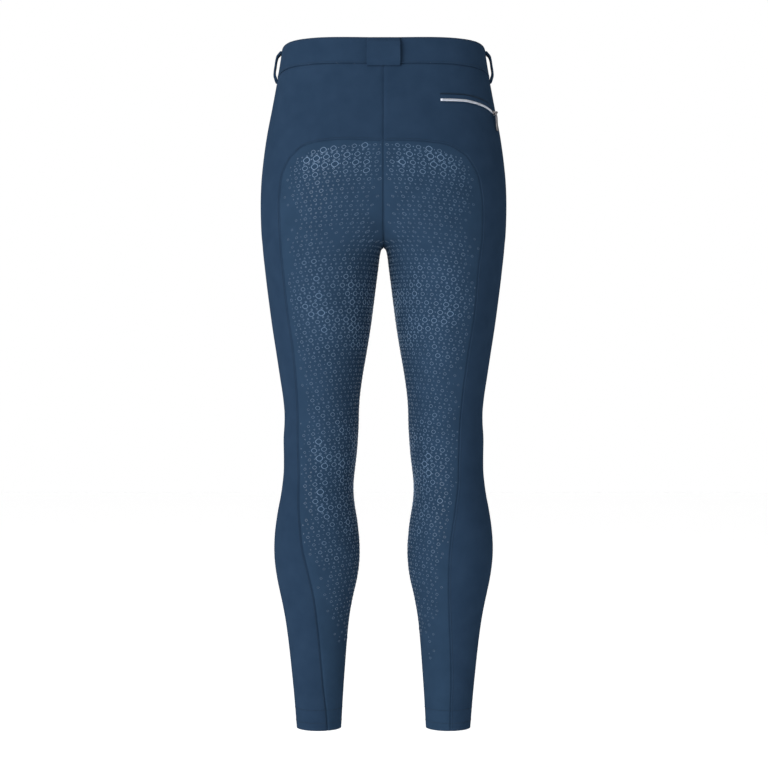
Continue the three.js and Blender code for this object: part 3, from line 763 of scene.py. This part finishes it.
# Belt loops: part of the loop's height, part of its stand-off, for the outside and for the hollow behind
LOOP_RISE = [
    (0, 0), (0.07, 0.4), (0.16, 0.86), (0.28, 1), (0.5, 1), (0.7, 0.96), (0.83, 0.78), (0.93, 0.36), (1, 0),
]
LOOP_HOLLOW = [
    (0, 0), (0.08, 0.2), (0.17, 0.8), (0.28, 1), (0.5, 1),
    (0.68, 0.93), (0.78, 0.62), (0.86, 0.14), (0.9, 0), (1, 0),
]
LOOP_WALL = 2.2
LOOP_PLUMP = 0.4
LOOP_FOOT = 0.7
LOOP_BELOW_TOP = 0.4
LOOP_PAST_SEAM = 4.5

# Node, side, angle, width, stand-off
LOOPS = [
    ("loop_back", "right", -90, 49, 6.2),
    ("loop_side_left", "left", 0, 18, 6),
    ("loop_side_right", "right", 0, 18, 6),
    ("loop_front_left", "left", 72, 12, 6.6),
    ("loop_front_right", "right", 72, 12, 6.6),
]


def half_angle_of(middle, width):
    """Half the angle that a chord of the given width takes at the waist."""
    half = np.linspace(0.002, 0.6, 1200)
    chord = np.linalg.norm(surface(middle + half, 0.0) - surface(middle - half, 0.0), axis=-1)
    return float(np.interp(width, chord, half))


def belt_loop(node, side, degrees, width, stand):
    middle = math.radians(degrees)
    half = half_angle_of(middle, width)
    part = clustered(34, (0.01, 0.03, 0.05))
    top = float(top_height(degrees)) - LOOP_BELOW_TOP
    bottom = float(seam_height(degrees)) - LOOP_PAST_SEAM
    z = (top + (bottom - top) * part)[:, None]
    across = middle + half * (clustered(20, (0.01, 0.03, 0.06)) * 2 - 1)[None, :]
    places = np.stack(np.broadcast_arrays(across, z), axis=-1)
    outer, inner = [
        LOOP_FOOT + (stand - LOOP_FOOT) * curve(shape)(part)[:, None] for shape in (LOOP_RISE, LOOP_HOLLOW)
    ]
    return cloth_shell(side, node, places, outer + LOOP_WALL + LOOP_PLUMP, inner, pillow=0.8)


# Inner facing that closes the seam behind the lapped end of the band
FACING_FIRST, FACING_LAST = 74, 90
FACING_REACH = 7
FACING_OUTSIDE, FACING_INSIDE = -1.3, -2.1


def band_facing():
    degrees = np.linspace(FACING_FIRST, FACING_LAST, 30)
    z = seam_height(degrees)[None, :] + np.linspace(FACING_REACH, -FACING_REACH, 9)[:, None]
    angle = np.radians(degrees)[None, :] + np.zeros_like(z)
    points = np.stack([on_cloth("left", angle, z, lift) for lift in (FACING_OUTSIDE, FACING_INSIDE)])
    return add_piece("band_facing", points, shell_faces(*angle.shape, True), NAVY, "cloth")


# Fly flap: straight, then curving in to the centre seam at its foot
FLY_LENGTH = 150
FLY_WIDTH = 36
FLY_WALL = 1.2
FLY_GAP = 0.3
FLY_STRAIGHT = 0.7
FLY_CURVE = 0.31


def fly_edge(part):
    """The flap's width at a part of its length, as a share of its full width."""
    bend = np.sqrt(np.maximum(1 - ((part - FLY_STRAIGHT) / FLY_CURVE) ** 2, 0.01))
    return np.where(part < FLY_STRAIGHT, 1, bend)


def fly_flap():
    part = clustered(44)
    start = float(seam_height(90)) - FLY_GAP
    z = (start + (FLY_GAP - FLY_LENGTH) * part)[:, None]
    x = FLY_WIDTH * fly_edge(part)[:, None] * (1 - clustered(16))[None, :] + FLY_GAP / 2
    x, z = np.broadcast_arrays(x, z)
    places = np.stack([front_angle(x, z), z], axis=-1)
    return cloth_shell("left", "fly_flap", places, LAY + FLY_WALL, LAY * 0.3, pillow=0.7)


# Back pocket: welt above the zip, a painted shadow strip over the welt's top edge, a narrow lip below it,
# tape and teeth
ZIP_HALF = 1.7
WELT_TOP = 8.2
WELT_WALL = 1.3
WELT_GAP = 0.1
LIP_WIDTH = 1.6
# Width of the painted shadow strip laid along the welt's top edge
SHADOW_STRIP_WIDTH = 1.4
TAPE_OUTSIDE, TAPE_INSIDE = 0.75, 0.2
TOOTH = (0.5, 0.85, 0.75)
TOOTH_PITCH = 1.5
TEETH_APART = 1.0
ZIP_FIRST, ZIP_LAST = POCKET[0][0], POCKET[-1][0]


def pocket_places(high, low, rows):
    """Places along the pocket, between two heights over the middle of the zip."""
    degrees = ZIP_FIRST + (ZIP_LAST - ZIP_FIRST) * clustered(70)
    z = zip_height(degrees)[None, :] + (high + (low - high) * rows)[:, None]
    angle = np.radians(degrees)[None, :] + np.zeros_like(z)
    return np.stack([angle, z], axis=-1)


def pocket_welt():
    places = pocket_places(WELT_TOP, ZIP_HALF + WELT_GAP, clustered(8, (0.03, 0.08, 0.14)))
    return cloth_shell("right", "pocket_welt", places, LAY + WELT_WALL, 0.1, pillow=0.9)


def pocket_strip(name, high, low, rise, material):
    """A narrow rounded strip along the pocket, such as the lip under the zip."""
    places = pocket_places(high, low, np.linspace(0, 1, 7))
    angle, z = places[..., 0], places[..., 1]
    hump = np.sin(np.linspace(0, math.pi, 7))[:, None]
    points = np.stack([on_cloth("right", angle, z, 0.15 + rise * hump), on_cloth("right", angle, z, 0.05)])
    return add_piece(name, points, shell_faces(*angle.shape, False), material, "cloth")


def zip_tape():
    places = pocket_places(ZIP_HALF, -ZIP_HALF, np.linspace(0, 1, 5))
    angle, z = places[..., 0], places[..., 1]
    points = np.stack([on_cloth("right", angle, z, lift) for lift in (TAPE_OUTSIDE, TAPE_INSIDE)])
    piece = add_piece("zip_tape", points, shell_faces(*angle.shape, False), SILVER_TAPE, "zip_tape")
    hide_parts("pocket_zip")
    return piece


# A unit block, and the share of its length that is left at its top
BLOCK_TOP_LENGTH = 0.86
BLOCK = np.array([[x, y, z] for z in (0, 1) for x, y in ((-1, -1), (1, -1), (1, 1), (-1, 1))], float)
BLOCK_FACES = np.array([[0, 3, 2, 1], [4, 5, 6, 7], [0, 1, 5, 4], [1, 2, 6, 5], [2, 3, 7, 6], [3, 0, 4, 7]])


def blocks(name, side, angle, z, heading, size, lift, material, slot, narrow=0.55):
    """Small bevelled blocks on the cloth: places, heading, and half-length, half-width, height."""
    angle, z, heading = [np.asarray(value, float) for value in (angle, z, heading)]
    along, up, out, _ = frames(angle, z)
    base = surface(angle, z) + out * (lift + crease_lift(side, angle, z))[:, None]
    ahead = along * np.cos(heading)[:, None] + up * np.sin(heading)[:, None]
    aside = up * np.cos(heading)[:, None] - along * np.sin(heading)[:, None]
    shape = BLOCK.copy()
    shape[4:, :2] *= (BLOCK_TOP_LENGTH, narrow)
    points = (
        base[:, None, :]
        + ahead[:, None, :] * shape[None, :, :1] * size[0]
        + aside[:, None, :] * shape[None, :, 1:2] * size[1]
        + out[:, None, :] * shape[None, :, 2:] * size[2]
    )
    faces = (BLOCK_FACES[None, :, :] + 8 * np.arange(len(angle))[:, None, None]).reshape(-1, 4)
    if side == "left":
        points[..., 0] *= -1
        faces = faces[:, ::-1]
    return add_piece(name, points, faces.tolist(), material, slot, smooth=False)


def even_places(angle, z, pitch, shift=0.0):
    """Places at an even pitch along a path on the surface, with the path's heading."""
    points = surface(angle, z)
    step = np.linalg.norm(np.diff(points, axis=0), axis=-1)
    run = np.concatenate([[0], np.cumsum(step)])
    stops = np.arange(pitch / 2 + shift, run[-1], pitch)
    at_angle = np.interp(stops, run, angle)
    at_z = np.interp(stops, run, z)
    along, up, _, _ = frames(at_angle, at_z)
    ahead = np.stack([np.interp(stops + 0.5, run, points[:, k]) for k in range(3)], axis=-1)
    ahead -= np.stack([np.interp(stops - 0.5, run, points[:, k]) for k in range(3)], axis=-1)
    heading = np.arctan2((ahead * up).sum(-1), (ahead * along).sum(-1))
    return at_angle, at_z, heading


def zip_teeth():
    """Two rows of teeth that mesh, each half a pitch past the other."""
    degrees = np.linspace(ZIP_FIRST + 0.5, ZIP_LAST - 3.5, 80)
    rows = []
    for sign in (-1, 1):
        z = zip_height(degrees) + sign * TEETH_APART / 2
        rows.append(even_places(np.radians(degrees), z, TOOTH_PITCH, TOOTH_PITCH / 4 * (1 + sign)))
    angle, z, heading = [np.concatenate(column) for column in zip(*rows)]
    return blocks("zip_teeth", "right", angle, z, heading, TOOTH, 0.7, SILVER, "zip_tape", 0.9)


# Stitches: half-length, half-width and height, and how far a row lies from its seam
STITCH = (1.15, 0.26, 0.34)
STITCH_PITCH = 3.2
STITCH_INSET = 2.2
TACK = (0.3, 0.85, 0.3)
TACK_PITCH = 0.9


def stitches(name, side, paths, lift=0.0):
    """Rows of stitches along paths of angles and heights."""
    rows = [even_places(np.asarray(angle), np.asarray(z), STITCH_PITCH) for angle, z in paths]
    angle, z, heading = [np.concatenate(column) for column in zip(*rows)]
    return blocks(name, side, angle, z, heading, STITCH, lift, THREAD, "cloth", 0.6)


def shifted(places, along, up):
    """A path moved by millimetres along and up the surface."""
    angle, z = places[:, 0] * centre_angle(places[:, 1]), places[:, 1]
    _, _, _, pace = frames(angle, z)
    return angle + along / pace, z + up


def seat_stitches(side):
    across, down = seat_edge(side)
    over = shifted(across[4:-4], 0, STITCH_INSET)
    outside = shifted(down[3:-4], 2.4, 0)
    return stitches(f"stitches_seat_{side}", side, [over, outside])


def hem_stitches(side):
    angle = np.linspace(-math.pi, math.pi, 160)
    paths = [(angle, np.full(160, HEM_Z + rise)) for rise in (11.5, HEM_DEPTH + 1.0)]
    return stitches(f"stitches_hem_{side}", side, paths, 0.02)


def band_stitches(side):
    degrees = np.linspace(-88, 78, 200)
    paths = [
        (np.radians(degrees), seam_height(degrees) + STITCH_INSET),
        (np.radians(degrees), top_height(degrees) - STITCH_INSET),
    ]
    return stitches(f"stitches_waistband_{side}", side, paths, BAND_OUTSIDE - 0.08)


FLY_STITCH_INSET = 2.6


def fly_stitches():
    part = np.linspace(0.01, 0.97, 90)
    z = float(seam_height(90)) - FLY_LENGTH * part
    x = (FLY_WIDTH - FLY_STITCH_INSET) * fly_edge(part)
    return stitches("stitches_fly", "left", [(front_angle(x, z), z)], LAY + FLY_WALL - 0.05)


def pocket_stitches():
    degrees = np.linspace(ZIP_FIRST + 0.6, ZIP_LAST - 0.8, 90)
    paths = [
        (np.radians(degrees), zip_height(degrees) + WELT_TOP + 2.6),
        (np.radians(degrees), zip_height(degrees) - ZIP_HALF - 2.8),
    ]
    return stitches("stitches_pocket", "right", paths, -0.05)


def loop_tacks():
    """A dense bar tack across the foot of every loop."""
    rows = {"left": [], "right": []}
    for _, side, degrees, width, _ in LOOPS:
        half = half_angle_of(math.radians(degrees), width - 2.4)
        angle = math.radians(degrees) + np.linspace(-half, half, 30)
        low = np.full(30, float(seam_height(degrees)) - 3.1)
        rows[side].append(even_places(angle, low, TACK_PITCH))
    for side, found in rows.items():
        angle, z, heading = [np.concatenate(column) for column in zip(*found)]
        lift = LOOP_FOOT + LOOP_WALL + 0.55
        blocks(f"loop_tacks_{side}", side, angle, z, heading, TACK, lift, THREAD, "cloth")


def button_thread():
    """Two bars of thread across the button's dish."""
    low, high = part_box("waist_button")
    middle = (np.array(low) + np.array(high)) / 2 * 1000
    face = float(high[1]) * 1000
    points = []
    for side in (-1, 1):
        centre = np.array([middle[0] + side * 1.7, face - 1.1, middle[2]])
        for x, y, z in BLOCK:
            points.append(centre + np.array([x * 0.45, z * 0.7, y * 2.1]))
    faces = np.concatenate([BLOCK_FACES[:, ::-1], BLOCK_FACES[:, ::-1] + 8])
    return add_piece("button_thread", points, faces.tolist(), THREAD, "cloth", smooth=False)


# Grip print: rows of plain lozenge rings, with small rings and dots between them
ROW_PITCH = 12.5
ROW_FALL = 13.0
MOTIF_PITCH = 15.0
PRINT_TOP, PRINT_FOOT = -140.0, -900.0
PRINT_MARGIN = 4.0
PRINT_FADE_WIDTH = 30
PRINT_THICK = 0.3
PRINT_SUNK = -0.05
PRINT_SEED = {"left": 11, "right": 12}
CORNER_START_X = 60

# Least strength, half-width and its growth, height share, line and its growth, corners, power
MOTIFS = {
    "large": (0.1, 1.6, 4.2, 0.84, 0.7, 0.45, 14, 1.3),
    "small": (0.16, 0.9, 0.8, 1.0, 0.6, 0.0, 8, 1.0),
    "dot": (0.16, 0.45, 0.45, 1.0, 2.0, 0.0, 6, 1.0),
}


def print_row(side, z, pitch, shift):
    """Places of one row of motifs, between the seat panel's inner and outer edge."""
    tops = [(height, x) for x, height in SEAT_TOP[side] if x > CORNER_START_X]
    edge = curve(tops + SEAT_SIDE[side][1:])
    last = float(back_angle(edge(z), np.array(z)))
    limit = float(centre_angle(np.array(z)))
    first = -limit if z > CROTCH_Z else math.radians(float(inner_seam_angle(z)) - 360)
    angle = np.linspace(first, last, 240)
    heights = np.full(240, z)
    points = surface(angle, heights)
    run = np.concatenate([[0], np.cumsum(np.linalg.norm(np.diff(points, axis=0), axis=-1))])
    stops = np.arange(run[-1] - PRINT_MARGIN - shift * pitch, PRINT_MARGIN, -pitch)
    spot = np.interp(stops, run, angle)
    inside = np.minimum(stops, run[-1] - stops)
    share = surface(spot, np.full(len(spot), z))[..., 0] / float(edge(z))
    fallen = z - ROW_FALL * share ** 2
    inside = np.minimum(inside, edge(fallen) - surface(spot, fallen)[..., 0])
    kept = inside > PRINT_MARGIN
    return spot[kept], fallen[kept], inside[kept]


def motif_outline(steps, power):
    turn = np.arange(steps) * 2 * math.pi / steps
    return np.stack([signed_power(np.cos(turn), power), signed_power(np.sin(turn), power)], axis=-1)


def motifs(side, angle, z, half_width, half_height, line, steps, power):
    """Raised rings of one outline over many places. A line of 1 or more gives a filled dot."""
    outline = motif_outline(steps, power)
    _, _, _, pace = frames(angle, z)
    hole = np.maximum(1 - line / half_width, 0.02)
    loops = []
    for scale, lift in (
            (np.full_like(hole, 1.0), PRINT_SUNK), (np.full_like(hole, 0.93), PRINT_THICK),
            (hole + 0.05, PRINT_THICK), (hole, PRINT_SUNK)):
        at_angle = angle[:, None] + outline[None, :, 0] * (half_width * scale / pace)[:, None]
        at_z = z[:, None] + outline[None, :, 1] * (half_height * scale)[:, None]
        loops.append(on_cloth(side, at_angle, at_z, lift))
    points = np.stack(loops, axis=1)
    index = np.arange(4 * steps).reshape(4, steps)
    near, far = index[:-1], index[1:]
    quads = np.stack([near, np.roll(near, -1, 1), np.roll(far, -1, 1), far], -1).reshape(-1, 4)
    if side == "left":
        quads = quads[:, ::-1]
    faces = (quads[None] + 4 * steps * np.arange(len(angle))[:, None, None]).reshape(-1, 4)
    return points.reshape(-1, 3), faces


def print_places(side):
    """Angles, heights and distances from the panel's edge, for each kind of motif."""
    rows = {kind: [] for kind in MOTIFS}
    for row, z in enumerate(np.arange(PRINT_TOP, PRINT_FOOT, -ROW_PITCH)):
        half = 0.5 * (row % 2)
        rows["large"].append(print_row(side, z, MOTIF_PITCH, half))
        rows["small"].append(print_row(side, z - ROW_PITCH / 2, MOTIF_PITCH / 2, 0.25))
        rows["dot"].append(print_row(side, z, MOTIF_PITCH, 0.5 - half))
    return {kind: [np.concatenate(column) for column in zip(*found)] for kind, found in rows.items()}


def grip_print(side):
    """The whole print of one seat panel, with a fade value at each corner for its colour."""
    chance = np.random.default_rng(PRINT_SEED[side])
    points, faces, fade = [], [], []
    start = 0
    for kind, (angle, z, inside) in print_places(side).items():
        least, width, growth, squat, line, line_growth, corners, power = MOTIFS[kind]
        patches = 0.86 + 0.3 * np.sin(z / 31 + 3 * angle) * np.sin(z / 17 - 7 * angle)
        strength = print_strength(z) * np.clip(inside / PRINT_FADE_WIDTH, 0.35, 1) * patches
        strength = np.clip(strength * chance.uniform(0.65, 1.2, len(z)), 0.05, 1)
        keep = strength > least
        angle, z, strength = angle[keep], z[keep], strength[keep]
        wide = width + growth * strength
        thick = line + line_growth * strength
        ring_points, ring_faces = motifs(side, angle, z, wide, wide * squat, thick, corners, power)
        points.append(ring_points)
        faces.append(ring_faces + start)
        start += len(ring_points)
        fade.append(np.repeat(strength, len(ring_points) // len(strength)))
    faces = np.concatenate(faces).tolist()
    piece = add_piece(f"print_{side}", np.concatenate(points), faces, PRINT, "seat_cloth")
    layer = piece.data.attributes.new("fade", "FLOAT", "POINT")
    layer.data.foreach_set("value", np.concatenate(fade).astype(np.float32))
    return piece


# Studio
CAMERA_DISTANCE = 3.0
CAMERA_HEIGHT = -0.487
PIXELS_ACROSS = 768
FOCAL_PIXELS = 1980
SENSOR = 36
CENTRE_SHIFT_PIXELS = 0.45
FLOOR_DROP = 0.14
FLOOR_REACH = 9.0
FLOOR_GLOW = 0.3
DIM_TOWARD = (0.82, -0.57, 0)
DIM_FROM = 0.55
DIM_GREY = 0.18

# Name, place, aim, size, power
LIGHTS = [
    ("key", (-1.9, -3.1, 0.5), (0, 0, -0.45), 2.2, 95),
    ("fill", (1.2, -3.3, -0.3), (0, 0, -0.5), 2.4, 16),
]


def make_camera():
    data = bpy.data.cameras.new("camera")
    data.sensor_width = SENSOR
    data.lens = FOCAL_PIXELS / PIXELS_ACROSS * SENSOR
    data.shift_x = CENTRE_SHIFT_PIXELS / PIXELS_ACROSS
    camera = bpy.data.objects.new("camera", data)
    camera.location = (0, -CAMERA_DISTANCE, CAMERA_HEIGHT)
    camera.rotation_euler = (math.radians(90), 0, 0)
    bpy.context.scene.collection.objects.link(camera)
    bpy.context.scene.camera = camera


def make_light(name, place, aim, size, power):
    data = bpy.data.lights.new(name, "AREA")
    data.size = size
    data.energy = power
    light = bpy.data.objects.new(name, data)
    light.location = place
    away = [place[k] - aim[k] for k in range(3)]
    flat = math.hypot(away[0], away[1])
    light.rotation_euler = (math.atan2(flat, away[2]), 0, math.atan2(away[1], away[0]) + math.pi / 2)
    bpy.context.scene.collection.objects.link(light)


def make_floor():
    height = HEM_Z / 1000 - FLOOR_DROP
    signs = ((-1, -1), (1, -1), (1, 1), (-1, 1))
    corners = [(x * FLOOR_REACH, y * FLOOR_REACH, height) for x, y in signs]
    mesh = bpy.data.meshes.new("floor")
    mesh.from_pydata(corners, [], [(0, 1, 2, 3)])
    material, _, shader = new_material("pale_floor", (0.92, 0.92, 0.92), 0.9)
    shader.inputs["Emission Color"].default_value = (1, 1, 1, 1)
    shader.inputs["Emission Strength"].default_value = FLOOR_GLOW
    mesh.materials.append(material)
    floor = bpy.data.objects.new("floor", mesh)
    bpy.context.scene.collection.objects.link(floor)


def shade_sky(tree, backdrop):
    """A white studio that is dimmer on the side of the garment's right and in front of it."""
    place = tree.nodes.new("ShaderNodeTexCoord")
    toward = add_node(tree, "ShaderNodeVectorMath")
    toward.operation = "DOT_PRODUCT"
    toward.inputs[1].default_value = DIM_TOWARD
    tree.links.new(place.outputs["Generated"], toward.inputs[0])
    ramp = tree.nodes.new("ShaderNodeValToRGB")
    ramp.color_ramp.elements[0].position = 0.0
    ramp.color_ramp.elements[1].position = DIM_FROM
    ramp.color_ramp.elements[0].color = (1, 1, 1, 1)
    ramp.color_ramp.elements[1].color = (DIM_GREY, DIM_GREY, DIM_GREY, 1)
    tree.links.new(toward.outputs["Value"], ramp.inputs["Fac"])
    tree.links.new(ramp.outputs["Color"], backdrop.inputs["Color"])


def make_studio():
    make_floor()
    world = bpy.data.worlds.new("studio")
    world.use_nodes = True
    backdrop = world.node_tree.nodes["Background"]
    backdrop.inputs["Strength"].default_value = 1.0
    shade_sky(world.node_tree, backdrop)
    bpy.context.scene.world = world
    bpy.context.scene.view_settings.view_transform = "Standard"
    for light in LIGHTS:
        make_light(*light)


def give_material(node, material):
    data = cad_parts[node].data
    data.materials.clear()
    data.materials.append(material)


def dress():
    sheets = []
    for side in ("left", "right"):
        sheets += [seat_panel(side), back_panel(side), front_panel(side), waistband(side)]
        grip_print(side)
        seat_stitches(side)
        band_stitches(side)
        hem_stitches(side)
    for loop in LOOPS:
        sheets.append(belt_loop(*loop))
    loop_tacks()
    sheets += [fly_flap(), pocket_welt()]
    band_facing()
    fly_stitches()
    lip_top = -ZIP_HALF - WELT_GAP
    pocket_strip("pocket_lip", lip_top, lip_top - LIP_WIDTH, 0.85, NAVY)
    # Painted shadow: a dark strip just above the welt that stands in for the shade under its top edge
    shadow_strip_foot = WELT_TOP + WELT_GAP
    pocket_strip("pocket_painted_shadow", shadow_strip_foot + SHADOW_STRIP_WIDTH, shadow_strip_foot, 0.5, SHADOW_STRIP)
    zip_tape()
    zip_teeth()
    pocket_stitches()
    button_thread()
    give_material("zip_slider", BRONZE)
    give_material("zip_pull", BRONZE)
    give_material("waist_button", BUTTON)


make_camera()
make_studio()
dress()
